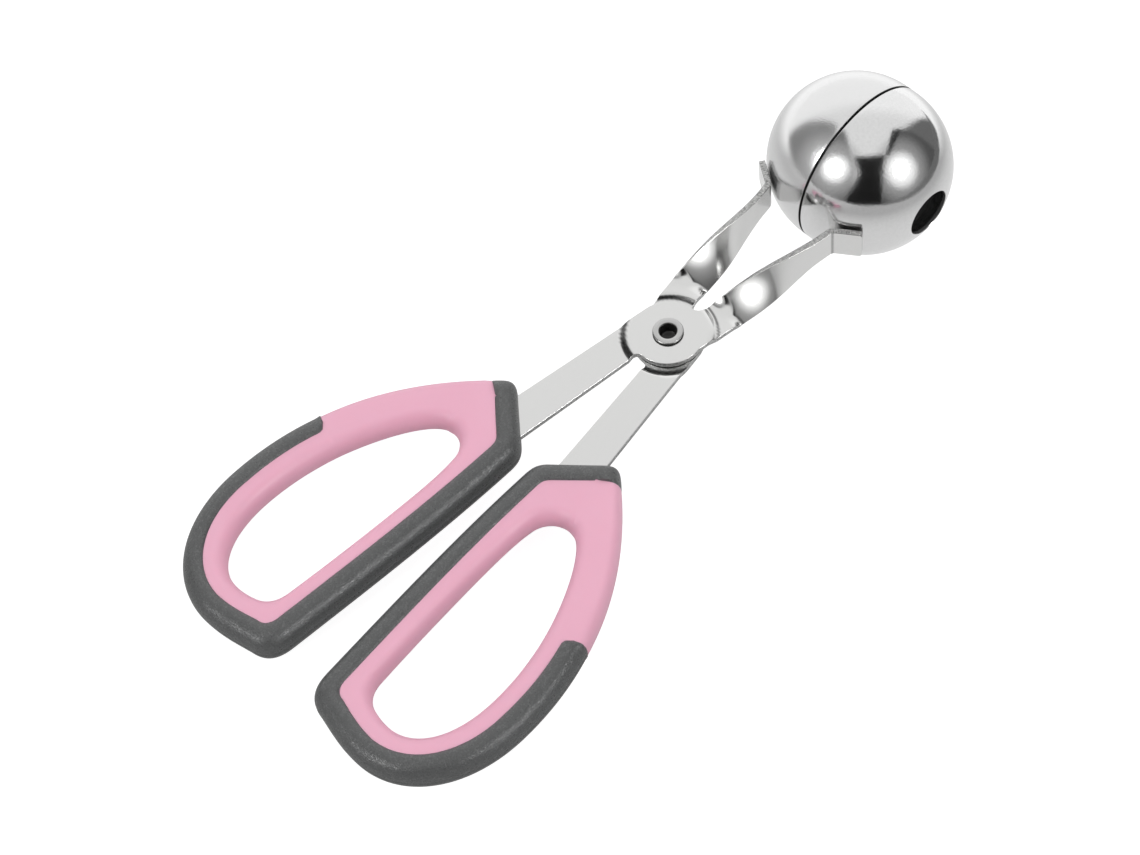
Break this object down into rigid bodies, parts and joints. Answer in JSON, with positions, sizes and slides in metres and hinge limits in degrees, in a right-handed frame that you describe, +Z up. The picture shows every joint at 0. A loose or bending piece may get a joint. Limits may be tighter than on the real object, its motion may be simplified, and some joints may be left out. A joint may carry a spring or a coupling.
{
  "type": "meatball tongs",
  "caption": "Scissor-action meatball tongs: crossed steel strips on a rivet, half-round cups that close to a ball, and two-colour finger loops.",
  "frame": {"origin": "centre of the bounding box's bottom face, where the closed tool lies on a table", "axes": "+X towards the ball, +Y towards the left loop as seen from above with the ball ahead, +Z up"},
  "size_m": [0.2236, 0.101, 0.0454],
  "materials": {
    "strip_steel": "stainless strip, lightly polished",
    "polished_steel": "stainless steel, mirror polished",
    "rivet_steel": "plain steel, lightly polished",
    "pink_plastic": "satin",
    "grey_soft_plastic": "fine grain, semi-gloss"
  },
  "bodies": {
    "upper_arm": {"blade_upper": "strip_steel", "cup_right": "polished_steel", "handle_core_left": "pink_plastic", "grip_left": "grey_soft_plastic", "pivot_rivet": "rivet_steel"},
    "lower_arm": {"blade_lower": "strip_steel", "cup_left": "polished_steel", "handle_core_right": "pink_plastic", "grip_right": "grey_soft_plastic"}
  },
  "joints": [
    {"name": "pivot", "type": "hinge", "parent": "upper_arm", "child": "lower_arm", "pos_m": [0.01864, 0, 0.01637], "axis": [-0.0898, 0, 0.996], "range_deg": [0, 36]}
  ]
}
